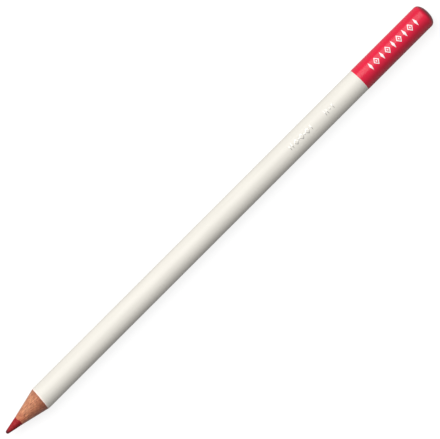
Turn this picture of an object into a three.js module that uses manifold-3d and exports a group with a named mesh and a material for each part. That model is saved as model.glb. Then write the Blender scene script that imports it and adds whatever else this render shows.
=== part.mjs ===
// A round wood-cased coloured pencil, factory sharpened and unused, lying on its side.
//
// The pencil lies along X. Its point looks towards -X and its dipped end towards +X.
// The origin is under the middle of its length, on the surface that it rests on, and +Z is up.
// Sizes are in millimetres and angles in degrees.

import * as THREE from "three";
import { mergeVertices } from "three/addons/utils/BufferGeometryUtils.js";
import Module from "manifold-3d";

const wasm = await Module();
wasm.setup();

// Driving dimensions of the whole pencil
const overallLength = 175; // blunt point to the top of the domed end
const barrelDiameter = 7.5; // over the cream lacquer

// The pigment core and the ground point
const coreDiameter = 3.1;
const coreHalfAngle = 11.4; // of the ground core to the axis
const noseRadius = 0.6; // the rounding of the blunt point

// The two cedar slats and the adhesive between them
const woodHalfAngle = 13.4; // of the ground wood and coats to the axis
const glueLineThickness = 0.1; // slat face to slat face
const bondGap = 0.02; // left between two bonded surfaces

// The coats on the barrel
const undercoatThickness = 0.025;
const lacquerThickness = 0.035;

// The domed end and the coloured dip over it
const domeDepth = 2; // rim of the dome to its top, over the dip
const domeFlatRadius = 0.5; // the flat spot in the middle of the dome
const dipLength = 28.5;
const dipWall = 0.06; // how far the dip stands proud of the lacquer
const dipEndThickness = 0.35; // lacquer pooled over the end grain
const dipEdgeTaper = 0.3; // length over which the dip's edge thins out
const dipEdgeThickness = 0.03; // what is left of the dip at that edge

// Fineness of the faceted solids
const sides = 64;
const noseSteps = 5;
const domeSteps = 9;
const weldDistance = 1e-5; // corners nearer than this are one corner

// Radii of the layers, from the outside in
const barrelRadius = barrelDiameter / 2;
const lacquerBore = barrelRadius - lacquerThickness;
const undercoatRadius = lacquerBore - bondGap;
const undercoatBore = undercoatRadius - undercoatThickness;
const casingRadius = undercoatBore - bondGap;
const coreRadius = coreDiameter / 2;
const grooveRadius = coreRadius + bondGap;

// Radii of the dip, from the inside out
const dipBore = barrelRadius + bondGap;
const dipEdgeRadius = dipBore + dipEdgeThickness;
const dipRadius = barrelRadius + dipWall;

// Stations along the pencil, as distances from the front of the blunt point
const domeRim = overallLength - domeDepth;
const bareEnd = overallLength - dipEndThickness;
const dipStart = overallLength - dipLength;

// A pencil rests on a facet of the dip, which is a little nearer the axis than its corners.
const axisHeight = dipRadius * Math.cos(Math.PI / sides);

const finishes = {
  core: { color: 0xb3262f, roughness: 0.5 },
  cedar: { color: 0xcf9067, roughness: 0.7 },
  glue: { color: 0xe6d3a8, roughness: 0.6 },
  undercoat: { color: 0xf7f3ec, roughness: 0.6 },
  lacquer: { color: 0xeae6da, roughness: 0.35 },
  dip: { color: 0xcf2c47, roughness: 0.25 },
};

// Where the ground point has a given radius. The softer wood is cut at a wider angle than the core.
function coneStation(radius) {
  const [coreAngle, woodAngle] = [coreHalfAngle, woodHalfAngle].map(THREE.MathUtils.degToRad);
  const apexCutAway = noseRadius / Math.sin(coreAngle) - noseRadius;
  const overCore = Math.min(radius, coreRadius) / Math.tan(coreAngle) - apexCutAway;
  const overWood = Math.max(radius - coreRadius, 0) / Math.tan(woodAngle);
  return overCore + overWood;
}

// The rounded front of the core, from the axis to where it runs into the cone.
function noseProfile() {
  const reach = Math.PI / 2 - THREE.MathUtils.degToRad(coreHalfAngle);
  return Array.from({ length: noseSteps + 1 }, (_, step) => {
    const turn = (reach * step) / noseSteps;
    return new THREE.Vector2(noseRadius * Math.sin(turn), noseRadius * (1 - Math.cos(turn)));
  });
}

// A quarter ellipse from the dome's rim to its flat spot, and on to the axis.
function domeProfile(rimRadius, top) {
  const curve = Array.from({ length: domeSteps + 1 }, (_, step) => {
    const turn = (Math.PI / 2) * (step / domeSteps);
    return new THREE.Vector2(
      domeFlatRadius + (rimRadius - domeFlatRadius) * Math.cos(turn),
      domeRim + (top - domeRim) * Math.sin(turn),
    );
  });
  return [...curve, new THREE.Vector2(0, top)];
}

// The part of the bare dome between two radii, from the outer one to the inner one. Every layer
// takes its end from this one line, so that neighbours meet without crossing.
function bareDomeSpan(outer, inner) {
  const line = domeProfile(barrelRadius, bareEnd);
  const pointAt = (radius) => {
    const next = line.findIndex((point, i) => i > 0 && point.x <= radius);
    const [from, to] = [line[next - 1], line[next]];
    return new THREE.Vector2().lerpVectors(from, to, (from.x - radius) / (from.x - to.x));
  };
  const between = line.filter((point) => point.x < outer && point.x > inner);
  return [pointAt(outer), ...between, pointAt(inner)];
}

// A layer that runs from the cone to the dome between two radii.
function sleeveProfile(bore, radius) {
  const front = new THREE.Vector2(bore, coneStation(bore));
  const shoulder = new THREE.Vector2(radius, coneStation(radius));
  return [front, shoulder, ...bareDomeSpan(radius, bore), front];
}

// Merges the shared corners of a geometry, so that it can be cut and joined as a solid.
function solidOf(geometry) {
  geometry.deleteAttribute("normal");
  geometry.deleteAttribute("uv");
  const merged = mergeVertices(geometry, weldDistance);
  return new wasm.Manifold(
    new wasm.Mesh({
      numProp: 3,
      vertProperties: merged.attributes.position.array,
      triVerts: new Uint32Array(merged.index.array),
    }),
  );
}

// Turns a solid back into a geometry with flat faces.
function geometryOf(solid) {
  const { vertProperties, triVerts } = solid.getMesh();
  const indexed = new THREE.BufferGeometry();
  indexed.setAttribute("position", new THREE.BufferAttribute(vertProperties, 3));
  indexed.setIndex(new THREE.BufferAttribute(triVerts, 1));
  const geometry = indexed.toNonIndexed();
  geometry.computeVertexNormals();
  return geometry;
}

// Revolves a profile of (radius, station) about Y. A facet, not a corner, faces down.
function revolve(profile) {
  return new THREE.LatheGeometry(profile, sides, Math.PI / sides, 2 * Math.PI);
}

// A box between two corners, for cutting the casing up.
function boxBetween(low, high) {
  const size = new THREE.Vector3().subVectors(high, low);
  const middle = new THREE.Vector3().addVectors(low, high).multiplyScalar(0.5);
  return solidOf(new THREE.BoxGeometry(size.x, size.y, size.z).translate(...middle));
}

// The pigment core: a blunt point, the ground cone, a plain rod and its share of the dome.
function coreGeometry() {
  const shoulder = new THREE.Vector2(coreRadius, coneStation(coreRadius));
  return revolve([...noseProfile(), shoulder, ...bareDomeSpan(coreRadius, 0)]);
}

// The cedar casing in one piece, before it is parted into its slats.
function casingSolid() {
  return solidOf(revolve(sleeveProfile(grooveRadius, casingRadius)));
}

// One of the two slats: the half of the casing above or below the glue line.
function slatGeometry(casing, side) {
  const faces = [(side * glueLineThickness) / 2, side * barrelDiameter];
  const low = new THREE.Vector3(-barrelDiameter, 0, Math.min(...faces));
  const high = new THREE.Vector3(barrelDiameter, overallLength, Math.max(...faces));
  return geometryOf(casing.intersect(boxBetween(low, high)));
}

// One of the two strips of adhesive, beside the core and between the slats.
function glueLineGeometry(casing, side) {
  const halfFilm = glueLineThickness / 2 - bondGap;
  const edges = [0, side * barrelDiameter];
  const low = new THREE.Vector3(Math.min(...edges), 0, -halfFilm);
  const high = new THREE.Vector3(Math.max(...edges), overallLength, halfFilm);
  return geometryOf(casing.intersect(boxBetween(low, high)));
}

// The coloured dip: a thin cup over the domed end, with a thinned open edge.
function dipGeometry() {
  const inside = domeProfile(barrelRadius, bareEnd)
    .reverse()
    .map(({ x, y }) => new THREE.Vector2(x > 0 ? x + bondGap : 0, y + bondGap));
  const edge = [
    new THREE.Vector2(dipBore, dipStart),
    new THREE.Vector2(dipEdgeRadius, dipStart),
    new THREE.Vector2(dipRadius, dipStart + dipEdgeTaper),
  ];
  return revolve([...inside, ...edge, ...domeProfile(dipRadius, overallLength)]);
}

function namedMesh(name, finish, geometry) {
  const mesh = new THREE.Mesh(geometry, new THREE.MeshStandardMaterial(finishes[finish]));
  mesh.name = name;
  return mesh;
}

const casing = casingSolid();
const pencil = new THREE.Group();
pencil.add(
  namedMesh("pigment_core", "core", coreGeometry()),
  namedMesh("upper_slat", "cedar", slatGeometry(casing, 1)),
  namedMesh("lower_slat", "cedar", slatGeometry(casing, -1)),
  namedMesh("glue_line_front", "glue", glueLineGeometry(casing, 1)),
  namedMesh("glue_line_back", "glue", glueLineGeometry(casing, -1)),
  namedMesh("undercoat", "undercoat", revolve(sleeveProfile(undercoatBore, undercoatRadius))),
  namedMesh("barrel_lacquer", "lacquer", revolve(sleeveProfile(lacquerBore, barrelRadius))),
  namedMesh("end_dip", "dip", dipGeometry()),
);

// Lays the pencil down: its own axis, which the profiles revolve about, turns onto X.
pencil.rotation.z = -Math.PI / 2;
pencil.position.set(-overallLength / 2, 0, axisHeight);

const model = new THREE.Group();
model.add(pencil);

export default model;
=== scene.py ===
"""Dresses the solids of a round wood-cased coloured pencil and lights them on a pale floor.

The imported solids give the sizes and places. Lengths are in metres, in the pencil's own frame: it lies
along X, with its point towards -X and its dipped end towards +X, on a floor at Z = 0. The patterns of
the finishes are written in millimetres from the pencil's own axis.
"""

import logging
import math
import random
from abc import ABC, abstractmethod
from dataclasses import dataclass, field
from enum import Enum
from functools import partial
from typing import Any, Callable, Mapping, Sequence

import bmesh
import bpy
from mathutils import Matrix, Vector, noise


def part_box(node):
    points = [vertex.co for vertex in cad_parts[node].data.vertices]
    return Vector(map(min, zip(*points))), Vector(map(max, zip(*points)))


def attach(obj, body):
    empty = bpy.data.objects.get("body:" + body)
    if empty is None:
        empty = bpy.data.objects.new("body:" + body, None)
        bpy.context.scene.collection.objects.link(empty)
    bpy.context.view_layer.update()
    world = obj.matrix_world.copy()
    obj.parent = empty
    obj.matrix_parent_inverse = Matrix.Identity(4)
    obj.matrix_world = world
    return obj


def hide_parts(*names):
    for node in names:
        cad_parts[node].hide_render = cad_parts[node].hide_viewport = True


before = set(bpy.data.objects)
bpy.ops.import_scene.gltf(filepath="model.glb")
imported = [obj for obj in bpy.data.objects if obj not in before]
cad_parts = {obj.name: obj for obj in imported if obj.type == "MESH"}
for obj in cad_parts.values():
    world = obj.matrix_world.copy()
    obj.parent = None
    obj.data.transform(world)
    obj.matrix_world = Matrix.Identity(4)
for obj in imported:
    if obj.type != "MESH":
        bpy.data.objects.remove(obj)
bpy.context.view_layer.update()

log = logging.getLogger("pencil")

Colour = tuple[float, float, float]
Spot = tuple[float, float]  # a point of the cross-section: its Y and its height above the axis
Socket = bpy.types.NodeSocket
Surface = Callable[[Spot], float]  # the X over a spot
RowPlace = Callable[[float], tuple[float, float]]  # the radius and X at an angle about the axis

MM = 0.001
PER_METRE = 1 / MM
LAP = 0.002 * MM  # how far touching pieces run into each other
BODY = "root"


@dataclass(frozen=True)
class PencilSizes:
    """The pencil's sizes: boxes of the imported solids, and the few shapes that a box can't tell."""

    tip_x: float
    butt_x: float
    dip_edge_x: float
    axis_z: float
    core_radius: float
    casing_radius: float
    barrel_radius: float
    half_glue_line: float = 0.05 * MM
    core_half_angle: float = math.radians(11.4)
    wood_half_angle: float = math.radians(13.4)
    nose_radius: float = 0.6 * MM
    dome_depth: float = 2.0 * MM
    dome_flat_radius: float = 0.5 * MM
    dip_end_thickness: float = 0.35 * MM
    bond_gap: float = 0.02 * MM  # between bonded solids, which the dressed pieces close
    core_aside: float = -0.075 * MM  # of the core, off the barrel's axis

    @classmethod
    def from_frame(cls) -> "PencilSizes":
        """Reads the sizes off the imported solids.

        Returns:
            The sizes.
        """
        core_low, core_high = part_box("pigment_core")
        dip_low, dip_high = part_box("end_dip")
        return cls(
            tip_x=core_low.x,
            butt_x=dip_high.x,
            dip_edge_x=dip_low.x,
            axis_z=(dip_low.z + dip_high.z) / 2,
            core_radius=core_high.y,
            casing_radius=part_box("upper_slat")[1].y + cls.bond_gap,
            barrel_radius=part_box("barrel_lacquer")[1].y,
        )

    @property
    def apex_x(self) -> float:
        """Where the core's cone would come to a point if it weren't blunt."""
        return self.tip_x + self.nose_radius - self.nose_radius / math.sin(self.core_half_angle)

    @property
    def coat_radius(self) -> float:
        """Where the white undercoat ends and the cream lacquer begins."""
        return (self.casing_radius + self.barrel_radius) / 2

    @property
    def dome_rim_x(self) -> float:
        """Where the barrel turns into the domed end."""
        return self.butt_x - self.dome_depth

    def aside(self, radius: float) -> float:
        """How far a layer lies off the barrel's axis along Y: as far as the core, or less outside it."""
        share = (self.casing_radius - radius) / (self.casing_radius - self.core_radius)
        return self.core_aside * min(1.0, max(0.0, share))

    def ground_x(self, spot: Spot) -> float:
        """The ground surface: a blunt nose and a cone about the core's own axis, wider in the wood.

        Args:
            spot: A point of the cross-section.

        Returns:
            The X of the surface there.
        """
        distance = math.hypot(spot[0] - self.core_aside, spot[1])
        if distance < self.nose_radius * math.cos(self.core_half_angle):
            return self.tip_x + self.nose_radius - math.sqrt(self.nose_radius**2 - distance**2)
        in_core = min(distance, self.core_radius) / math.tan(self.core_half_angle)
        in_wood = max(distance - self.core_radius, 0.0) / math.tan(self.wood_half_angle)
        return self.apex_x + in_core + in_wood

    def ground_shift(self, depth: float) -> float:
        """How far along X a dent of some depth, square to the wood's cone, moves its surface."""
        return depth / math.sin(self.wood_half_angle)

    def dome_x(self, spot: Spot) -> float:
        """The domed end of the wood and the core, under the dip.

        Args:
            spot: A point of the cross-section.

        Returns:
            The X of the surface there.
        """
        reach = self.barrel_radius - self.dome_flat_radius
        out = max(0.0, math.hypot(*spot) - self.dome_flat_radius) / reach
        rise = self.dome_depth - self.dip_end_thickness
        return self.dome_rim_x + rise * math.sqrt(max(0.0, 1 - out**2))


def steps(start: float, end: float, count: int) -> list[float]:
    """Splits a stretch into even parts. Both ends are among the count + 1 values."""
    return [start + (end - start) * i / count for i in range(count + 1)]


def smooth_step(value: float, start: float, end: float) -> float:
    """A smooth rise from 0 at the start to 1 at the end."""
    share = min(1.0, max(0.0, (value - start) / (end - start)))
    return share * share * (3 - 2 * share)


def wave(turn: float, pace: float, place: float) -> float:
    """Smooth noise about 0 that closes after a full turn about the axis."""
    return noise.noise(Vector((pace * math.cos(turn), pace * math.sin(turn), place)))


@dataclass(frozen=True)
class Relief:
    """Smooth unevenness of a surface."""

    depth: float
    grain: float  # the size of its features
    stretch: float = 1.0  # how many times longer they are along the pencil

    def at(self, x: float, spot: Spot) -> float:
        """The unevenness over a spot at some X, from about -depth to depth."""
        place = Vector((x / (self.grain * self.stretch), spot[0] / self.grain, spot[1] / self.grain))
        return self.depth * noise.noise(place)


def put(name: str, data: bpy.types.ID) -> bpy.types.Object:
    """Puts an object into the scene.

    Args:
        name: Its name.
        data: Its mesh, lamp or camera.

    Returns:
        The object.
    """
    thing = bpy.data.objects.new(name, data)
    bpy.context.scene.collection.objects.link(thing)
    return thing


class Sector(Enum):
    """Which part of a full turn about the pencil's axis a layer fills."""

    WHOLE = "whole"
    UPPER = "upper half"
    LOWER = "lower half"
    FRONT_STRIP = "strip towards -Y"
    BACK_STRIP = "strip towards +Y"

    def point(self, radius: float, across: float, half_gap: float) -> Spot:
        """Finds a point of the cross-section.

        Args:
            radius: Its distance from the axis.
            across: How far across the sector it is, from 0 to 1.
            half_gap: Half the height of the glue line.

        Returns:
            The point.
        """
        if self is Sector.WHOLE:
            turn = 2 * math.pi * across
            return radius * math.cos(turn), radius * math.sin(turn)
        if self in (Sector.FRONT_STRIP, Sector.BACK_STRIP):
            side = -1 if self is Sector.FRONT_STRIP else 1
            height = half_gap * (2 * across - 1)
            return side * math.sqrt(radius**2 - height**2), height
        margin = math.asin(half_gap / radius)
        turn = margin + (math.pi - 2 * margin) * across
        side = 1 if self is Sector.UPPER else -1
        return radius * math.cos(turn), side * radius * math.sin(turn)


@dataclass
class MeshSketch:
    """A mesh under construction."""

    name: str
    mesh: bmesh.types.BMesh = field(default_factory=bmesh.new)
    weld_distance: float = LAP / 100
    sharp_angle: float = math.radians(38)

    def add_skin(
        self,
        rows: Sequence[Sequence[Vector]],
        ring: bool,
        turn: bool = True,
        finishes: Sequence[int] = (),
    ) -> None:
        """Adds the closed skin over a grid of points.

        Args:
            rows: Rows of points, one for each corner of the outline.
            ring: Whether the last row joins the first.
            turn: Whether each row is a full turn. If it isn't, its two ends get flat faces.
            finishes: The number of the finish that follows each row. All are 0 if it is left out.
        """
        corners = [[self.mesh.verts.new(point) for point in row] for row in rows]
        width = len(rows[0])
        for j in range(len(rows) if ring else len(rows) - 1):
            here, there = corners[j], corners[(j + 1) % len(rows)]
            for k in range(width if turn else width - 1):
                after = (k + 1) % width
                face = self.mesh.faces.new((here[k], here[after], there[after], there[k]))
                face.material_index = finishes[j] if finishes else 0
        if not turn:
            self.mesh.faces.new([row[0] for row in corners])
            self.mesh.faces.new([row[-1] for row in reversed(corners)])

    def finish(self, *materials: bpy.types.Material) -> bpy.types.Object:
        """Ends the sketch.

        Args:
            *materials: The object's materials, in the order of their finishes' numbers.

        Returns:
            The object, with smooth faces and sharp corners.
        """
        bmesh.ops.remove_doubles(self.mesh, verts=self.mesh.verts, dist=self.weld_distance)
        bmesh.ops.recalc_face_normals(self.mesh, faces=self.mesh.faces)
        data = bpy.data.meshes.new(self.name)
        self.mesh.to_mesh(data)
        self.mesh.free()
        data.polygons.foreach_set("use_smooth", [True] * len(data.polygons))
        data.set_sharp_from_angle(angle=self.sharp_angle)
        for material in materials:
            data.materials.append(material)
        return put(self.name, data)


def settle(piece: bpy.types.Object, slot: str, *nodes: str) -> None:
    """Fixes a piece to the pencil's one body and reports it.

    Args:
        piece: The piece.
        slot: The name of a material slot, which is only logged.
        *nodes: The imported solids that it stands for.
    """
    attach(piece, BODY)
    if nodes:
        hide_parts(*nodes)
    log.info("%s: %d faces, slot %s", piece.name, len(piece.data.polygons), slot)


@dataclass(frozen=True)
class Station:
    """A corner of a layer's outline."""

    radius: float
    share: float  # of the way from the ground surface to the dome
    finish: int = 0  # the number of the finish from here to the next corner


def sleeve_outline(bore: float, radius: float, cone_rings: int, cut_finish: int = 0) -> tuple[Station, ...]:
    """Outlines a sleeve: out over the cone, back along the barrel and in over the dome.

    Args:
        bore: The sleeve's inner radius.
        radius: Its outer radius.
        cone_rings: The number of rings over the cone.
        cut_finish: The number of the finish on the cone.

    Returns:
        The outline's corners. They crowd on the wall next to the ground edge.
    """
    crowded = (0.0, 0.0001, 0.0004, 0.0015, 0.005, 0.02)
    even = steps(0.05, 0.95, 18)
    dome_rings = 8
    cone = [Station(r, 0.0, cut_finish) for r in steps(bore, radius, cone_rings)[:-1]]
    wall = [Station(radius, share) for share in (*crowded, *even)]
    dome = [Station(r, 1.0) for r in steps(radius, bore, dome_rings)]
    return (*cone, *wall, *dome)


@dataclass(frozen=True)
class Layer:
    """A solid about the axis that ends in a ground surface in front and in the dome behind."""

    name: str
    outline: tuple[Station, ...]
    front: Surface
    sizes: PencilSizes
    sector: Sector = Sector.WHOLE
    spans: int = 160

    def corner(self, station: Station, across: float) -> Vector:
        """Finds one point of the surface.

        Args:
            station: The corner of the outline.
            across: How far across the sector the point is, from 0 to 1.

        Returns:
            The point in the pencil's frame.
        """
        y, height = self.sector.point(station.radius, across, self.sizes.half_glue_line)
        y += self.sizes.aside(station.radius)
        front, rear = self.front((y, height)), self.sizes.dome_x((y, height))
        return Vector((front + (rear - front) * station.share, y, self.sizes.axis_z + height))

    def build(self, *materials: bpy.types.Material) -> bpy.types.Object:
        """Makes the layer.

        Args:
            *materials: Its materials, in the order of their finishes' numbers.

        Returns:
            The piece.
        """
        whole = self.sector is Sector.WHOLE
        shares = [k / self.spans for k in range(self.spans if whole else self.spans + 1)]
        rows = [[self.corner(station, share) for share in shares] for station in self.outline]
        finishes = [station.finish for station in self.outline]
        sketch = MeshSketch(self.name)
        sketch.add_skin(rows, ring=self.outline[0].radius > 0, turn=whole, finishes=finishes)
        return sketch.finish(*materials)


@dataclass(frozen=True)
class Grain:
    """A noise pattern. The sizes of its features are in millimetres."""

    along: float
    across: float
    detail: float = 2.0  # the number of finer layers
    roughness: float = 0.5  # how strong the finer layers are


@dataclass(frozen=True)
class Ramp:
    """A smooth step: the values that it lies between, and what it gives before and after."""

    start: float
    end: float
    low: float = 0.0
    high: float = 1.0

    def beyond(self, value: float) -> "Ramp":
        """The same step, further on by a value."""
        return Ramp(self.start + value, self.end + value, self.low, self.high)


@dataclass(frozen=True)
class Patches:
    """Patches that follow noise. A smooth step of the noise is their strength."""

    grain: Grain
    ramp: Ramp


def opaque(colour: Any) -> Any:
    """Adds a full alpha to a plain colour, and leaves a socket as it is."""
    return colour if isinstance(colour, Socket) else (*colour, 1.0)


class NodeSketch:
    """The nodes of a material or a world under construction."""

    def __init__(self, owner: bpy.types.Material | bpy.types.World) -> None:
        """Starts without nodes.

        Args:
            owner: The material or the world.
        """
        owner.use_nodes = True
        owner.node_tree.nodes.clear()
        self.tree = owner.node_tree

    def add(self, kind: str, inputs: Mapping[Any, Any] | None = None, **settings: Any) -> bpy.types.Node:
        """Adds a node.

        Args:
            kind: Blender's name for the node.
            inputs: Values or sockets for its inputs, by name or number.
            **settings: Its other properties.

        Returns:
            The node.
        """
        node = self.tree.nodes.new(kind)
        for key, value in settings.items():
            setattr(node, key, value)
        for key, value in (inputs or {}).items():
            if isinstance(value, Socket):
                self.tree.links.new(value, node.inputs[key])
            else:
                node.inputs[key].default_value = value
        return node

    def maths(self, operation: str, first: Any, second: Any = 0.0) -> Socket:
        """The result of an operation on two numbers."""
        return self.add("ShaderNodeMath", {0: first, 1: second}, operation=operation).outputs[0]

    def vector(self, operation: str, first: Any, second: Any) -> Socket:
        """The result of a vector operation on two vectors."""
        return self.add("ShaderNodeVectorMath", {0: first, 1: second}, operation=operation).outputs[0]

    def rise(self, value: Any, ramp: Ramp) -> Socket:
        """A smooth step of a value."""
        inputs = {0: value, 1: ramp.start, 2: ramp.end, 3: ramp.low, 4: ramp.high}
        return self.add("ShaderNodeMapRange", inputs, interpolation_type="SMOOTHSTEP").outputs[0]

    def blend(self, share: Any, first: Any, second: Any) -> Socket:
        """Mixes two colours, given as colours or sockets."""
        inputs = {0: share, 6: opaque(first), 7: opaque(second)}
        return self.add("ShaderNodeMix", inputs, data_type="RGBA").outputs[2]

    def shown(self) -> Socket:
        """Tells apart the rays that show the surroundings.

        Returns:
            A socket with 1 for camera, glossy and transmission rays, and 0 for others.
        """
        path = self.add("ShaderNodeLightPath").outputs
        seen = self.maths("MAXIMUM", path["Is Camera Ray"], path["Is Glossy Ray"])
        return self.maths("MAXIMUM", seen, path["Is Transmission Ray"])


class SurfaceSketch(NodeSketch):
    """The nodes of a piece's material. Their patterns are in millimetres from the pencil's axis."""

    def __init__(self, material: bpy.types.Material, sizes: PencilSizes) -> None:
        """Lays out the space of the patterns.

        Args:
            material: The material.
            sizes: The pencil's sizes.
        """
        super().__init__(material)
        self.sizes = sizes
        coordinates = self.add("ShaderNodeTexCoord").outputs["Object"]
        from_axis = self.vector("SUBTRACT", coordinates, (0.0, 0.0, sizes.axis_z))
        self.place = self.vector("MULTIPLY", from_axis, (PER_METRE, PER_METRE, PER_METRE))

    def along(self) -> Socket:
        """The place along the pencil, in millimetres."""
        return self.add("ShaderNodeSeparateXYZ", {0: self.place}).outputs[0]

    def across(self) -> Socket:
        """The place across the pencil, in millimetres towards +Y."""
        return self.add("ShaderNodeSeparateXYZ", {0: self.place}).outputs[1]

    def distance(self, y: float = 0.0, height: float = 0.0) -> Socket:
        """The distance in the cross-section from a point, in millimetres.

        Args:
            y: The point's Y.
            height: Its height above the axis.

        Returns:
            A socket with the distance.
        """
        offset = self.vector("SUBTRACT", self.place, (0.0, y, height))
        flat = self.vector("MULTIPLY", offset, (0.0, 1.0, 1.0))
        return self.add("ShaderNodeVectorMath", {0: flat}, operation="LENGTH").outputs["Value"]

    def noise(self, grain: Grain) -> Socket:
        """Noise with values about 0.5.

        Args:
            grain: The noise's sizes.

        Returns:
            A socket with the noise.
        """
        where = self.vector("MULTIPLY", self.place, (1 / grain.along, 1 / grain.across, 1 / grain.across))
        inputs = {"Vector": where, "Scale": 1.0, "Detail": grain.detail, "Roughness": grain.roughness}
        return self.add("ShaderNodeTexNoise", inputs).outputs[0]

    def patches(self, patches: Patches) -> Socket:
        """The strength of patches."""
        return self.rise(self.noise(patches.grain), patches.ramp)

    def waver(self, value: Any, grain: Grain, reach: float) -> Socket:
        """A value with noise added, weighed by its reach."""
        return self.maths("ADD", value, self.maths("MULTIPLY", self.noise(grain), reach))

    def toned(self, colour: Any, tone: Socket) -> Socket:
        """A colour made lighter or darker."""
        return self.add("ShaderNodeVectorMath", {0: colour, "Scale": tone}, operation="SCALE").outputs[0]

    def bump(self, grain: Grain, depth: float) -> Socket:
        """A normal that follows noise with a depth in millimetres."""
        inputs = {"Height": self.noise(grain), "Strength": 1.0, "Distance": depth * MM}
        return self.add("ShaderNodeBump", inputs).outputs["Normal"]


@dataclass(frozen=True)
class Finish(ABC):
    """The finish of a surface. Sizes in its patterns are in millimetres."""

    name: str

    @abstractmethod
    def shade(self, sketch: SurfaceSketch) -> dict[str, Any]:
        """Gives the inputs of the Principled shader by name, and adds the nodes behind them."""

    def material(self, sizes: PencilSizes) -> bpy.types.Material:
        """Makes the finish's material.

        Args:
            sizes: The pencil's sizes.

        Returns:
            The material.
        """
        material = bpy.data.materials.new(self.name)
        sketch = SurfaceSketch(material, sizes)
        shader = sketch.add("ShaderNodeBsdfPrincipled", self.shade(sketch))
        sketch.add("ShaderNodeOutputMaterial", {"Surface": shader.outputs[0]})
        return material


@dataclass(frozen=True)
class CedarFinish(Finish):
    """Ground pencil cedar: growth rings, lengthwise fibres, dark flecks and pigment rubbed in, with painted
    shade towards -Y and painted light towards +Y.
    """

    pith_y: float  # the middle of the tree, from the pencil's axis
    pith_height: float
    early: Colour = (0.63, 0.26, 0.14)
    late: Colour = (0.54, 0.205, 0.11)
    ring_width: float = 0.95
    ring_warp: Grain = Grain(9.0, 1.6, detail=3.0)
    warp_depth: float = 0.5  # in rings
    ring_darkens: Ramp = Ramp(0.35, 0.9)
    ring_ends: Ramp = Ramp(0.9, 1.0)
    fibres: Patches = Patches(Grain(5.5, 0.3, detail=4.0, roughness=0.66), Ramp(0.32, 0.68, 0.78, 1.15))
    hairs: Patches = Patches(Grain(0.8, 0.06), Ramp(0.25, 0.75, 0.93, 1.06))
    pores: Patches = Patches(Grain(1.1, 0.3, detail=3.0), Ramp(0.32, 0.68, 0.74, 1.2))
    fibre_depth: float = 0.012
    stain: Colour = (0.58, 0.12, 0.06)
    stain_smears: Patches = Patches(Grain(1.6, 0.22), Ramp(0.36, 0.7, low=0.25))
    stain_fade: Ramp = Ramp(0.0, 0.75, low=0.8, high=0.0)  # outwards from the core
    streak: Colour = (0.37, 0.12, 0.065)
    streaks: Grain = Grain(2.4, 0.36)
    streak_reach: float = 1.5
    streak_strength: Ramp = Ramp(0.25, 0.62, high=0.6)  # outwards to the coats
    shaded_side_tint: Colour = (0.62, 0.45, 0.40)  # painted shade: a darker, redder tint of the side towards -Y, away from the lamp
    lit_side_tint: Colour = (1.04, 1.07, 1.03)  # painted light: a paler, yellower tint of the side towards +Y, towards the lamp
    # where the painted shade turns into the painted light, in millimetres across
    lit_side_share: Ramp = Ramp(-3.3, 1.2)
    fleck: Colour = (0.23, 0.062, 0.036)
    flecks: Patches = Patches(Grain(2.6, 0.27, detail=3.0), Ramp(0.585, 0.66, high=0.75))

    def shade(self, sketch: SurfaceSketch) -> dict[str, Any]:
        """Lays the rings, fibres, stain, streaks, painted side light and shade, and flecks over each other.

        Args:
            sketch: The material under construction.

        Returns:
            The shader's inputs by name.
        """
        colour = sketch.blend(self.latewood(sketch), self.early, self.late)
        for tone in (self.fibres, self.hairs, self.pores):
            colour = sketch.toned(colour, sketch.patches(tone))
        colour = sketch.blend(self.near_core(sketch), colour, self.stain)
        colour = sketch.blend(self.near_coats(sketch), colour, self.streak)
        # painted light and shade: darker and redder towards -Y, paler towards +Y
        tint = sketch.blend(sketch.rise(sketch.across(), self.lit_side_share), self.shaded_side_tint, self.lit_side_tint)
        colour = sketch.vector("MULTIPLY", colour, tint)
        return {
            "Base Color": sketch.blend(sketch.patches(self.flecks), colour, self.fleck),
            "Roughness": 0.6,
            "Specular IOR Level": 0.25,
            "Sheen Weight": 0.3,
            "Sheen Roughness": 0.5,
            "Normal": sketch.bump(self.fibres.grain, self.fibre_depth),
        }

    def latewood(self, sketch: SurfaceSketch) -> Socket:
        """The dark late part of each growth ring, which ends sharply.

        Args:
            sketch: The material under construction.

        Returns:
            A socket from 0 in early wood to 1 in late wood.
        """
        rings = sketch.maths("DIVIDE", sketch.distance(self.pith_y, self.pith_height), self.ring_width)
        phase = sketch.maths("FRACT", sketch.waver(rings, self.ring_warp, self.warp_depth))
        ended = sketch.rise(phase, self.ring_ends)
        return sketch.maths("SUBTRACT", sketch.rise(phase, self.ring_darkens), ended)

    def near_core(self, sketch: SurfaceSketch) -> Socket:
        """Where red pigment was rubbed into the wood beside the core."""
        fade = sketch.rise(sketch.distance(), self.stain_fade.beyond(sketch.sizes.core_radius * PER_METRE))
        return sketch.maths("MULTIPLY", fade, sketch.patches(self.stain_smears))

    def near_coats(self, sketch: SurfaceSketch) -> Socket:
        """The reddish streaks where fibres tore beside the coats."""
        strength = self.streak_strength.beyond(sketch.sizes.casing_radius * PER_METRE)
        return sketch.rise(sketch.waver(sketch.distance(), self.streaks, self.streak_reach), strength)


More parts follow.
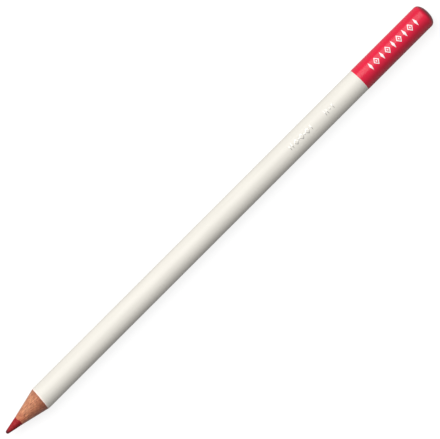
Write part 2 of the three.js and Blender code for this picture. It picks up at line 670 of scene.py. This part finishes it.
@dataclass(frozen=True)
class PigmentFinish(Finish):
    """Wax-bound red pigment, ground to a point: mottled, with burnished streaks in a lighter
    painted-highlight colour, a darker tip and painted shade towards -Y.
    """

    name: str = "pigment"
    base: Colour = (0.345, 0.018, 0.022)
    mottle: Patches = Patches(Grain(0.35, 0.3, detail=3.0), Ramp(0.3, 0.7, 0.8, 1.15))
    # painted highlight: burnished streaks drawn lighter and pinker, as the sheen on them; their roughness
    # differs too
    burnish_highlight: Colour = (0.46, 0.06, 0.075)
    streaks: Patches = Patches(Grain(2.6, 0.16), Ramp(0.54, 0.68, high=0.6))
    streak_roughness: Ramp = Ramp(0.35, 0.7, 0.52, 0.36)
    # darker towards the tip
    tip_dark: Colour = (0.10, 0.018, 0.03)
    tip_darkening: Ramp = Ramp(0.55, 1.9, low=0.9, high=0.0)  # backwards from the tip
    tip_darkening_spread: float = 0.6
    shaded_side_tone: Ramp = Ramp(-1.0, -0.2, low=0.68)  # painted shade: darker towards -Y, away from the lamp
    scratches: Grain = Grain(0.09, 1.4)
    scratch_depth: float = 0.003

    def shade(self, sketch: SurfaceSketch) -> dict[str, Any]:
        """Mottles the pigment, burnishes it in streaks of painted highlight, darkens its tip and paints shade
        towards -Y.

        Args:
            sketch: The material under construction.

        Returns:
            The shader's inputs by name.
        """
        colour = sketch.toned(self.base, sketch.patches(self.mottle))
        # painted highlight: lighter, pinker burnished streaks
        colour = sketch.blend(sketch.patches(self.streaks), colour, self.burnish_highlight)
        from_tip = sketch.maths("SUBTRACT", sketch.along(), sketch.sizes.tip_x * PER_METRE)
        tip_darkening = sketch.rise(sketch.waver(from_tip, self.mottle.grain, self.tip_darkening_spread), self.tip_darkening)
        colour = sketch.blend(tip_darkening, colour, self.tip_dark)
        return {
            # painted shade: darker towards -Y
            "Base Color": sketch.toned(colour, sketch.rise(sketch.across(), self.shaded_side_tone)),
            "Roughness": sketch.rise(sketch.noise(self.streaks.grain), self.streak_roughness),
            "Specular IOR Level": 0.08,
            "Normal": sketch.bump(self.scratches, self.scratch_depth),
        }


@dataclass(frozen=True)
class LacquerFinish(Finish):
    """The cream lacquer of the barrel: satin, with a fine orange peel and faint clouds."""

    name: str = "cream_lacquer"
    base: Colour = (0.815, 0.785, 0.715)
    clouds: Patches = Patches(Grain(16.0, 2.2, detail=3.0), Ramp(0.3, 0.7, 0.975, 1.015))
    cloud_roughness: Ramp = Ramp(0.3, 0.7, 0.31, 0.38)
    peel: Grain = Grain(1.76, 1.1)
    peel_depth: float = 0.0022

    def shade(self, sketch: SurfaceSketch) -> dict[str, Any]:
        """Clouds the lacquer and gives it its orange peel.

        Args:
            sketch: The material under construction.

        Returns:
            The shader's inputs by name.
        """
        return {
            "Base Color": sketch.toned(self.base, sketch.patches(self.clouds)),
            "Roughness": sketch.rise(sketch.noise(self.clouds.grain), self.cloud_roughness),
            "Specular IOR Level": 0.0,
            "Coat Weight": 0.34,
            "Coat Roughness": 0.3,
            "Normal": sketch.bump(self.peel, self.peel_depth),
        }


@dataclass(frozen=True)
class DipFinish(Finish):
    """The red dip: gloss lacquer, pink where it thins out, with painted shade on the dome and towards -Y."""

    name: str = "red_dip"
    base: Colour = (0.77, 0.018, 0.058)
    clouds: Patches = Patches(Grain(9.0, 2.0, detail=3.0), Ramp(0.3, 0.7, 0.95, 1.04))
    shaded_side_tone: Ramp = Ramp(-3.5, -0.6, low=0.68)  # painted shade: darker towards -Y, away from the lamp
    thin: Colour = (0.93, 0.66, 0.62)
    edge_waves: Grain = Grain(0.6, 0.5)
    wave_reach: float = 0.25
    full_share: Ramp = Ramp(0.0, 0.28)  # backwards from the dip's edge
    # painted shade: the dark red of the dome's end
    dome_shade: Colour = (0.15, 0.002, 0.013)
    dome_shade_share: Ramp = Ramp(0.5, 1.9, low=0.94, high=0.0)  # painted shade, forwards from the butt
    peel: Grain = Grain(2.2, 1.3)
    peel_depth: float = 0.002

    def shade(self, sketch: SurfaceSketch) -> dict[str, Any]:
        """Thins the dip out at its edge, and paints shade on the dome and towards -Y.

        Args:
            sketch: The material under construction.

        Returns:
            The shader's inputs by name.
        """
        full = sketch.toned(self.base, sketch.patches(self.clouds))
        # painted shade: darker towards -Y
        full = sketch.toned(full, sketch.rise(sketch.across(), self.shaded_side_tone))
        past_edge = sketch.maths("SUBTRACT", sketch.along(), sketch.sizes.dip_edge_x * PER_METRE)
        covered = sketch.rise(sketch.waver(past_edge, self.edge_waves, self.wave_reach), self.full_share)
        to_butt = sketch.maths("SUBTRACT", sketch.sizes.butt_x * PER_METRE, sketch.along())
        # painted shade on the dome's end
        dome_shade_mask = sketch.rise(to_butt, self.dome_shade_share)
        return {
            "Base Color": sketch.blend(dome_shade_mask, sketch.blend(covered, self.thin, full), self.dome_shade),
            "Roughness": 0.28,
            "Specular IOR Level": 0.0,
            "Coat Weight": 0.5,
            "Coat Roughness": 0.25,
            "Normal": sketch.bump(self.peel, self.peel_depth),
        }


@dataclass(frozen=True)
class PatchedFinish(Finish):
    """One colour with patches of another, on a slightly uneven surface."""

    base: Colour
    patch: Colour
    patches: Patches
    bumps: Grain
    bump_depth: float
    roughness: float
    specular: float = 0.5
    metallic: float = 0.0  # between the patches

    def shade(self, sketch: SurfaceSketch) -> dict[str, Any]:
        """Lays the patches over the base.

        Args:
            sketch: The material under construction.

        Returns:
            The shader's inputs by name.
        """
        patches = sketch.patches(self.patches)
        inputs = {
            "Base Color": sketch.blend(patches, self.base, self.patch),
            "Roughness": self.roughness,
            "Specular IOR Level": self.specular,
            "Normal": sketch.bump(self.bumps, self.bump_depth),
        }
        if self.metallic > 0:
            between = sketch.maths("SUBTRACT", 1.0, patches)
            inputs["Metallic"] = sketch.maths("MULTIPLY", between, self.metallic)
        return inputs


@dataclass(frozen=True)
class GlueFinish(PatchedFinish):
    """Dried wood glue: a yellowish resin, thicker in patches."""

    name: str = "dried_glue"
    base: Colour = (0.62, 0.40, 0.22)
    patch: Colour = (0.74, 0.57, 0.34)
    patches: Patches = Patches(Grain(0.7, 0.5), Ramp(0.35, 0.65))
    bumps: Grain = Grain(0.7, 0.5)
    bump_depth: float = 0.01
    roughness: float = 0.4


@dataclass(frozen=True)
class CutCoatFinish(PatchedFinish):
    """A coat where the grinder cut through it: chalky, with patches of wood dust."""

    patch: Colour = (0.72, 0.43, 0.29)
    patches: Patches = Patches(Grain(0.5, 0.14, detail=3.0), Ramp(0.52, 0.72, high=0.5))
    bumps: Grain = Grain(0.12, 0.12)
    bump_depth: float = 0.006
    roughness: float = 0.75
    specular: float = 0.2


@dataclass(frozen=True)
class FoilFinish(PatchedFinish):
    """A hot-stamped foil, with pinholes where it didn't take."""

    patches: Patches = Patches(Grain(0.11, 0.09), Ramp(0.62, 0.7, high=0.7))
    bumps: Grain = Grain(0.3, 0.2)
    bump_depth: float = 0.003
    roughness: float = 0.4


@dataclass(frozen=True)
class PigmentCore:
    """The rod of pigment, from its blunt ground point to the domed end."""

    sizes: PencilSizes
    finish: Finish = PigmentFinish()
    dents: Relief = Relief(0.015 * MM, 0.42 * MM)
    dented_length: float = 1.6 * MM
    marks: Relief = Relief(0.006 * MM, 0.13 * MM, stretch=2.0)
    nose_length: float = 0.4 * MM
    nose_rings: int = 16
    cone_rings: int = 56
    dome_rings: int = 6

    def front(self, spot: Spot) -> float:
        """The ground point, with its dents and grinding marks.

        Args:
            spot: A point of the cross-section.

        Returns:
            The X of the surface there.
        """
        x = self.sizes.ground_x(spot)
        from_tip = x - self.sizes.tip_x
        dents = self.dents.depth + self.dents.at(x, spot)
        marks = self.marks.depth + self.marks.at(x, spot)
        dented = 1 - smooth_step(from_tip, 0.0, self.dented_length)
        blunt = 1 - smooth_step(from_tip, 0.0, self.nose_length)
        return x + (dents * dented + marks) / max(math.sin(self.sizes.core_half_angle), blunt)

    def outline(self) -> tuple[Station, ...]:
        """Outlines the rod.

        Returns:
            The outline's corners, from the point along the side to the middle of the dome.
        """
        radius, nose_radius = self.sizes.core_radius, self.sizes.nose_radius
        nose = [Station(r, 0.0) for r in steps(0.0, nose_radius, self.nose_rings)[:-1]]
        cone = [Station(r, 0.0) for r in steps(nose_radius, radius, self.cone_rings)]
        side = [Station(radius, share) for share in (0.0005, 0.005, 0.25, 0.5, 0.75)]
        dome = [Station(r, 1.0) for r in steps(radius, 0.0, self.dome_rings)]
        return (*nose, *cone, *side, *dome)

    def build(self) -> None:
        """Makes and dresses the rod."""
        layer = Layer("ground_core", self.outline(), self.front, self.sizes)
        settle(layer.build(self.finish.material(self.sizes)), "pigment_core", "pigment_core")


@dataclass(frozen=True)
class CedarCasing:
    """The two slats about the core and the films of glue between them."""

    sizes: PencilSizes
    upper_finish: Finish = CedarFinish("cedar_upper", pith_y=-31.0, pith_height=-44.0)
    lower_finish: Finish = CedarFinish("cedar_lower", pith_y=52.0, pith_height=-17.0)
    glue_finish: Finish = GlueFinish()
    ridges: Relief = Relief(0.011 * MM, 0.5 * MM, stretch=9.0)
    fibres: Relief = Relief(0.005 * MM, 0.16 * MM, stretch=12.0)
    tears: Relief = Relief(0.08 * MM, 0.8 * MM)  # in the wood's edge about the core
    torn_width: float = 0.5 * MM
    cone_rings: int = 96
    slat_spans: int = 160
    film_spans: int = 4

    def front(self, spot: Spot) -> float:
        """The ground cone, with the ridges of the harder wood and its torn fibres.

        Args:
            spot: A point of the cross-section.

        Returns:
            The X of the surface there.
        """
        x = self.sizes.ground_x(spot)
        from_core = math.hypot(*spot) - self.sizes.core_radius
        torn = (1 - smooth_step(from_core, 0.0, self.torn_width)) * self.tears.at(0.0, spot)
        return x + self.sizes.ground_shift(self.ridges.at(x, spot) + self.fibres.at(x, spot) + torn)

    def build(self) -> None:
        """Makes and dresses the slats and the films."""
        sizes = self.sizes
        outline = sleeve_outline(sizes.core_radius - LAP, sizes.casing_radius, self.cone_rings)
        upper, lower = self.upper_finish.material(sizes), self.lower_finish.material(sizes)
        glue = self.glue_finish.material(sizes)
        parts = (
            ("cedar_slat_upper", Sector.UPPER, self.slat_spans, upper, "cedar", "upper_slat"),
            ("cedar_slat_lower", Sector.LOWER, self.slat_spans, lower, "cedar", "lower_slat"),
            ("glue_film_front", Sector.FRONT_STRIP, self.film_spans, glue, "glue", "glue_line_front"),
            ("glue_film_back", Sector.BACK_STRIP, self.film_spans, glue, "glue", "glue_line_back"),
        )
        for name, sector, spans, material, slot, node in parts:
            settle(Layer(name, outline, self.front, sizes, sector, spans).build(material), slot, node)


@dataclass(frozen=True)
class Chip:
    """A spot at the ground edge where the coats flaked off."""

    turn: float  # about the axis, in radians from +Y
    half_width: float
    depth: float
    deep_share: float = 0.2  # of its width, which is at its full depth

    def at(self, spot: Spot) -> float:
        """Its depth at a point of the cross-section."""
        apart = abs(math.remainder(math.atan2(spot[1], spot[0]) - self.turn, 2 * math.pi)) * math.hypot(*spot)
        return self.depth * (1 - smooth_step(apart, self.deep_share * self.half_width, self.half_width))


@dataclass(frozen=True)
class BarrelCoats:
    """The white undercoat and the cream lacquer on the barrel, ground away over the cone."""

    sizes: PencilSizes
    lacquer_finish: Finish = LacquerFinish()
    cut_lacquer_finish: Finish = CutCoatFinish("cut_lacquer", (0.86, 0.81, 0.72))
    undercoat_finish: Finish = CutCoatFinish("undercoat", (0.95, 0.86, 0.80))
    wander: Relief = Relief(0.009 * MM, 1.3 * MM)
    ragged: Relief = Relief(0.00405 * MM, 0.2 * MM)
    lacquer_flaked: float = 0.2 * MM  # behind the cone, where it bares the undercoat
    chip_count: int = 9
    chip_half_widths: tuple[float, float] = (0.12 * MM, 0.3 * MM)
    chip_depths: tuple[float, float] = (0.012 * MM, 0.035 * MM)
    seed: int = 41
    undercoat_rings: int = 6
    lacquer_rings: int = 8
    spans: int = 360

    def chips(self) -> list[Chip]:
        """Scatters the chips about the ground edge.

        Returns:
            The chips.
        """
        dice = random.Random(self.seed)
        ranges = ((0, 2 * math.pi), self.chip_half_widths, self.chip_depths)
        return [Chip(*(dice.uniform(*limits) for limits in ranges)) for _ in range(self.chip_count)]

    def front(self, spot: Spot, chips: Sequence[Chip], flaked: float = 0.0) -> float:
        """The ground edge of the coats.

        Args:
            spot: A point of the cross-section.
            chips: The spots where the coats flaked off.
            flaked: How far behind the cone the whole edge broke away.

        Returns:
            The X of the surface there.
        """
        outer = smooth_step(math.hypot(*spot), self.sizes.casing_radius, self.sizes.barrel_radius)
        dent = self.wander.at(0.0, spot) + self.ragged.at(0.0, spot)
        dent += outer * sum(chip.at(spot) for chip in chips)
        return self.sizes.ground_x(spot) + self.sizes.ground_shift(dent) + flaked

    def build(self) -> None:
        """Makes and dresses the two coats."""
        sizes = self.sizes
        front = partial(self.front, chips=self.chips())
        outline = sleeve_outline(sizes.casing_radius - LAP, sizes.coat_radius + LAP, self.undercoat_rings)
        undercoat = Layer("white_undercoat", outline, front, sizes, spans=self.spans)
        settle(undercoat.build(self.undercoat_finish.material(sizes)), "undercoat", "undercoat")
        flaked_front = partial(front, flaked=self.lacquer_flaked)
        outline = sleeve_outline(sizes.coat_radius, sizes.barrel_radius, self.lacquer_rings, cut_finish=1)
        lacquer = Layer("cream_coat", outline, flaked_front, sizes, spans=self.spans)
        materials = (self.lacquer_finish.material(sizes), self.cut_lacquer_finish.material(sizes))
        settle(lacquer.build(*materials), "barrel_lacquer", "barrel_lacquer")


@dataclass(frozen=True)
class EndDip:
    """The red dip: a thin film over the end of the barrel, thinned at its edge and pooled on the dome."""

    sizes: PencilSizes
    finish: Finish = DipFinish()
    film: float = 0.046 * MM
    edge_step: float = 0.006 * MM
    thinned_length: float = 0.55 * MM
    bead: float = 0.007 * MM
    bead_place: float = 0.8 * MM  # behind the edge
    bead_width: float = 0.4 * MM
    edge_wander: float = 0.06 * MM
    slow_wave: tuple[float, float] = (0.9, 7.0)  # its pace about the axis and its place in the noise
    quick_wave: tuple[float, float] = (4.0, 2.0)
    quick_share: float = 0.4
    pool_sag: float = 0.02 * MM
    sag_pace: float = 2.2  # about the axis
    sag_climb: float = 1.5  # up the dome
    spans: int = 256
    wall_rings: int = 18
    wall_crowding: float = 3.2
    dome_rings: int = 26
    flat_rings: int = 3
    inner_rings: int = 14

    @property
    def radius(self) -> float:
        """The dip's outer radius away from its edge."""
        return self.sizes.barrel_radius + self.film

    def edge_x(self, turn: float) -> float:
        """Where the dip's edge lies at an angle about the axis: a little behind the nominal edge."""
        waves = wave(turn, *self.slow_wave) + self.quick_share * wave(turn, *self.quick_wave)
        return self.sizes.dip_edge_x + self.edge_wander * (1 + waves)

    def wall_point(self, share: float, turn: float) -> tuple[float, float]:
        """A point of the outside wall.

        Args:
            share: How far it is from the edge to the dome's rim, from 0 to 1. Points crowd at the edge.
            turn: The angle about the axis.

        Returns:
            Its radius and X. The film thins towards its edge, behind a bead that it draws up as it dries.
        """
        edge_x = self.edge_x(turn)
        behind = (self.sizes.dome_rim_x - edge_x) * share**self.wall_crowding
        film = self.edge_step + (self.film - self.edge_step) * smooth_step(behind, 0.0, self.thinned_length)
        bead = self.bead * math.exp(-(((behind - self.bead_place) / self.bead_width) ** 2))
        return self.sizes.barrel_radius + film + bead, edge_x + behind

    def dome_point(self, climb: float, turn: float) -> tuple[float, float]:
        """A point of the pooled dome.

        Args:
            climb: The angle along the dome's quarter ellipse, from its rim.
            turn: The angle about the axis.

        Returns:
            Its radius and X.
        """
        sizes = self.sizes
        radius = sizes.dome_flat_radius + (self.radius - sizes.dome_flat_radius) * math.cos(climb)
        uneven = wave(turn, self.sag_pace, self.sag_climb * climb)
        sag = self.pool_sag * (1 + uneven * math.cos(climb) ** 2) * math.sin(climb) ** 2
        return radius, sizes.dome_rim_x + sizes.dome_depth * math.sin(climb) - sag

    def row(self, place: RowPlace) -> list[Vector]:
        """A row of points about the axis.

        Args:
            place: Gives the row's radius and X at an angle about the axis.

        Returns:
            The points.
        """
        points = []
        for k in range(self.spans):
            turn = 2 * math.pi * k / self.spans
            radius, x = place(turn)
            points.append(Vector((x, radius * math.cos(turn), self.sizes.axis_z + radius * math.sin(turn))))
        return points

    def circle(self, radius: float, x: float) -> list[Vector]:
        """A row of points at one radius and one X."""
        return self.row(lambda turn: (radius, x))

    def rows(self) -> list[list[Vector]]:
        """Lays out the dip's surface.

        Returns:
            Its rows: out from the middle of the dome, forward to the edge and back inside.
        """
        sizes = self.sizes
        bore = sizes.barrel_radius - LAP
        flat_radii = steps(0.0, sizes.dome_flat_radius, self.flat_rings)[:-1]
        climbs = steps(math.pi / 2, 0.0, self.dome_rings)
        shares = steps(1.0, 0.0, self.wall_rings)[1:]
        inner_radii = steps(bore, 0.0, self.inner_rings)
        return [
            *(self.circle(radius, sizes.butt_x - self.pool_sag) for radius in flat_radii),
            *(self.row(partial(self.dome_point, climb)) for climb in climbs),
            *(self.row(partial(self.wall_point, share)) for share in shares),
            self.row(lambda turn: (bore, self.edge_x(turn))),
            *(self.circle(radius, sizes.dome_x((radius, 0.0)) - LAP) for radius in inner_radii),
        ]

    def build(self) -> None:
        """Makes and dresses the dip."""
        sketch = MeshSketch("red_dip_coat")
        sketch.add_skin(self.rows(), ring=False)
        settle(sketch.finish(self.finish.material(self.sizes)), "end_dip", "end_dip")


class Motif(Enum):
    """The shape of a printed mark. Its value is how sharply the shape comes to its four points."""

    LOZENGE = 2.0
    STAR = 3.0

    def edge(self, half_length: float, half_height: float, turn: float) -> tuple[float, float]:
        """Finds a point of the shape's edge.

        Args:
            half_length: Half the shape's length along the pencil.
            half_height: Half its height across the pencil.
            turn: The angle that picks the point.

        Returns:
            Its offsets along and across the pencil.
        """
        along = math.copysign(abs(math.cos(turn)) ** self.value, math.cos(turn))
        across = math.copysign(abs(math.sin(turn)) ** self.value, math.sin(turn))
        return half_length * along, half_height * across


@dataclass(frozen=True)
class Mark:
    """One printed mark, in millimetres."""

    motif: Motif
    along: float  # its middle, from the middle of its row
    half_length: float
    half_height: float
    stroke: float = 0.0  # the width of its outline, or 0 if the mark is filled


@dataclass(frozen=True)
class FoilPrint:
    """A row of marks stamped on a round surface."""

    name: str
    marks: Sequence[Mark]
    from_butt: float  # to the middle of the row
    lean: float  # of the row from the top of the pencil towards +Y, in radians
    base_radius: float
    finish: Finish
    slot: str
    sizes: PencilSizes
    rise: float = 0.009 * MM
    sink: float = 0.006 * MM
    edge_points: int = 72
    stroke_rings: int = 3
    filled_rings: int = 5

    def loop(self, mark: Mark, scale: float, radius: float) -> list[Vector]:
        """A loop of points round a mark.

        Args:
            mark: The mark.
            scale: The loop's size as a share of the mark's.
            radius: Its distance from the pencil's axis.

        Returns:
            The points.
        """
        points = []
        for k in range(self.edge_points):
            turn = 2 * math.pi * k / self.edge_points
            along, across = mark.motif.edge(mark.half_length, mark.half_height, turn)
            lean = self.lean + scale * across * MM / self.base_radius
            x = self.sizes.butt_x - self.from_butt + (mark.along + scale * along) * MM
            height = self.sizes.axis_z + radius * math.cos(lean)
            points.append(Vector((x, radius * math.sin(lean), height)))
        return points

    def add_mark(self, sketch: MeshSketch, mark: Mark) -> None:
        """Adds one mark's closed skin.

        Args:
            sketch: The mesh under construction.
            mark: The mark.
        """
        narrow = mark.half_length * mark.half_height / math.hypot(mark.half_length, mark.half_height)
        inner = 1 - mark.stroke / narrow if mark.stroke else 0.0
        scales = steps(inner, 1.0, self.stroke_rings if mark.stroke else self.filled_rings)
        top, bottom = self.base_radius + self.rise, self.base_radius - self.sink
        rows = [self.loop(mark, scale, top) for scale in scales]
        rows += [self.loop(mark, scale, bottom) for scale in reversed(scales)]
        sketch.add_skin(rows, ring=mark.stroke > 0)

    def build(self) -> None:
        """Makes and dresses the print."""
        sketch = MeshSketch(self.name)
        for mark in self.marks:
            self.add_mark(sketch, mark)
        settle(sketch.finish(self.finish.material(self.sizes)), self.slot)


def dip_marks(pitch: float = 2.32, count: int = 9) -> list[Mark]:
    """The white row on the dip.

    Args:
        pitch: From mark to mark, in millimetres.
        count: The number of marks.

    Returns:
        Slim needles and framed lozenges by turns.
    """
    marks = []
    for i in range(count):
        along = pitch * (i - (count - 1) / 2)
        if i % 2:
            marks.append(Mark(Motif.LOZENGE, along, half_length=0.98, half_height=1.3, stroke=0.26))
            marks.append(Mark(Motif.STAR, along, half_length=0.34, half_height=0.5))
        else:
            marks.append(Mark(Motif.LOZENGE, along, half_length=0.42, half_height=1.4))
    return marks


def barrel_marks() -> list[Mark]:
    """The silver marks on the barrel.

    Returns:
        Two groups of slim needles, thin-lined lozenges and stars.
    """
    needle = partial(Mark, Motif.LOZENGE, half_length=0.17, half_height=1.05)
    lozenge = partial(Mark, Motif.LOZENGE, half_length=0.85, half_height=0.95, stroke=0.17)
    star = partial(Mark, Motif.STAR, half_length=0.42, half_height=0.55)
    return [
        *(needle(along) for along in (-9.1, -8.2, -0.4, 5.4, 6.2, 8.5)),
        *(lozenge(along) for along in (-6.6, -4.3, -2.0)),
        *(star(along) for along in (-5.45, -3.15, 7.35)),
    ]


@dataclass(frozen=True)
class Studio:
    """The pale floor, the sky, a flat lamp over the pencil and the camera."""

    sizes: PencilSizes
    floor_radius: float = 4.0
    floor_sides: int = 96
    floor_glow: float = 0.84  # where the camera sees it
    seen_tone: float = 0.22  # of its paint, on top of that glow
    mirrored_tone: float = 0.9  # of its paint, where the object mirrors it
    bounce_tone: float = 0.2  # of its paint, where it lights the object
    sky_tone: float = 0.285
    white_up_to: float = math.radians(5)  # above the horizon
    grey_from: float = math.radians(12)  # above the horizon
    lamp_lean: float = math.radians(28)  # from straight up towards +Y
    lamp_shift: float = -0.2  # along X
    lamp_distance: float = 1.5
    lamp_length: float = 1.3
    lamp_width: float = 1.35
    lamp_power: float = 25.0  # in watts
    camera_distance: float = 2.0
    camera_azimuth: float = math.radians(-45.1)
    camera_elevation: float = math.radians(84.5)
    camera_range: tuple[float, float] = (0.05, 20.0)
    view_width: float = 128.96 * MM
    sensor_width: float = 36.0  # in millimetres
    aim_x: float = 1.03 * MM
    aim_y: float = -0.02 * MM

    def lay_floor(self) -> None:
        """Lays a round floor that is white where it is seen, and keeps a faint shadow."""
        sketch = MeshSketch("floor")
        sides, radius = self.floor_sides, self.floor_radius
        bmesh.ops.create_circle(sketch.mesh, cap_ends=True, segments=sides, radius=radius)
        floor = sketch.finish(self.floor_material())
        log.info("floor: radius %.1f m", radius)

    def floor_material(self) -> bpy.types.Material:
        """Makes the floor's material.

        Returns:
            The material.
        """
        material = bpy.data.materials.new("floor_paint")
        sketch = NodeSketch(material)
        material.cycles.emission_sampling = "NONE"
        seen = sketch.add("ShaderNodeLightPath").outputs["Is Camera Ray"]
        unseen_tone = sketch.rise(sketch.shown(), Ramp(0.0, 1.0, self.bounce_tone, self.mirrored_tone))
        tone = sketch.blend(seen, unseen_tone, (self.seen_tone, self.seen_tone, self.seen_tone))
        paint = sketch.add("ShaderNodeBsdfDiffuse", {"Color": tone})
        glow = sketch.add("ShaderNodeEmission", {"Strength": sketch.maths("MULTIPLY", seen, self.floor_glow)})
        both = sketch.add("ShaderNodeAddShader", {0: paint.outputs[0], 1: glow.outputs[0]})
        sketch.add("ShaderNodeOutputMaterial", {"Surface": both.outputs[0]})
        return material

    def paint_sky(self) -> None:
        """Surrounds the scene with dim grey, and with white near the horizon where it is seen."""
        world = bpy.data.worlds.new("studio")
        sketch = NodeSketch(world)
        direction = sketch.add("ShaderNodeTexCoord").outputs["Generated"]
        height = sketch.add("ShaderNodeSeparateXYZ", {0: direction}).outputs[2]
        fade = Ramp(math.sin(self.white_up_to), math.sin(self.grey_from), low=1.0, high=0.0)
        white = sketch.maths("MULTIPLY", sketch.rise(height, fade), sketch.shown())
        tone = sketch.add("ShaderNodeMapRange", {0: white, 3: self.sky_tone, 4: 1.0}).outputs[0]
        inputs = {"Color": opaque((1.0, 1.0, 1.0)), "Strength": tone}
        background = sketch.add("ShaderNodeBackground", inputs)
        sketch.add("ShaderNodeOutputWorld", {"Surface": background.outputs[0]})
        bpy.context.scene.world = world

    def hang_lamp(self) -> None:
        """Hangs the lamp, which faces the pencil."""
        lean, distance = self.lamp_lean, self.lamp_distance
        data = bpy.data.lights.new("softbox", "AREA")
        data.shape = "RECTANGLE"
        data.size, data.size_y = self.lamp_length, self.lamp_width
        data.energy = self.lamp_power
        lamp = put("softbox", data)
        lamp.location = (self.lamp_shift, distance * math.sin(lean), distance * math.cos(lean))
        lamp.rotation_euler = (-lean, 0.0, 0.0)
        log.info("softbox: %.1f W", self.lamp_power)

    def place_camera(self) -> None:
        """Places the camera over the pencil, at the photograph's angle."""
        azimuth, elevation = self.camera_azimuth, self.camera_elevation
        flat = math.cos(elevation)
        back = Vector((math.sin(azimuth) * flat, -math.cos(azimuth) * flat, math.sin(elevation)))
        data = bpy.data.cameras.new("camera")
        data.sensor_width = self.sensor_width
        data.lens = self.sensor_width * self.camera_distance / self.view_width
        data.clip_start, data.clip_end = self.camera_range
        camera = put("camera", data)
        camera.location = Vector((self.aim_x, self.aim_y, self.sizes.axis_z)) + back * self.camera_distance
        camera.rotation_euler = (-back).to_track_quat("-Z", "Y").to_euler()
        bpy.context.scene.camera = camera

    def build(self) -> None:
        """Sets the studio up."""
        bpy.context.scene.view_settings.view_transform = "Standard"
        self.place_camera()
        self.lay_floor()
        self.paint_sky()
        self.hang_lamp()


def main() -> None:
    """Builds the pencil piece by piece, and then the studio about it."""
    logging.basicConfig(level=logging.INFO, format="%(name)s: %(message)s")
    sizes = PencilSizes.from_frame()
    dip = EndDip(sizes)
    PigmentCore(sizes).build()
    CedarCasing(sizes).build()
    BarrelCoats(sizes).build()
    dip.build()
    FoilPrint(
        name="white_foil",
        marks=dip_marks(),
        from_butt=14.3 * MM,
        lean=math.radians(3.5),
        base_radius=dip.radius,
        finish=FoilFinish("white_foil", base=(0.92, 0.88, 0.88), patch=(0.8, 0.3, 0.34)),
        slot="end_dip",
        sizes=sizes,
    ).build()
    silver = FoilFinish("silver_foil", (0.43, 0.42, 0.40), (0.55, 0.52, 0.45), roughness=0.32, metallic=0.9)
    FoilPrint(
        name="silver_foil",
        marks=barrel_marks(),
        from_butt=48.2 * MM,
        lean=0.0,
        base_radius=sizes.barrel_radius,
        finish=silver,
        slot="barrel_lacquer",
        sizes=sizes,
    ).build()
    Studio(sizes).build()


if __name__ == "__main__":
    main()
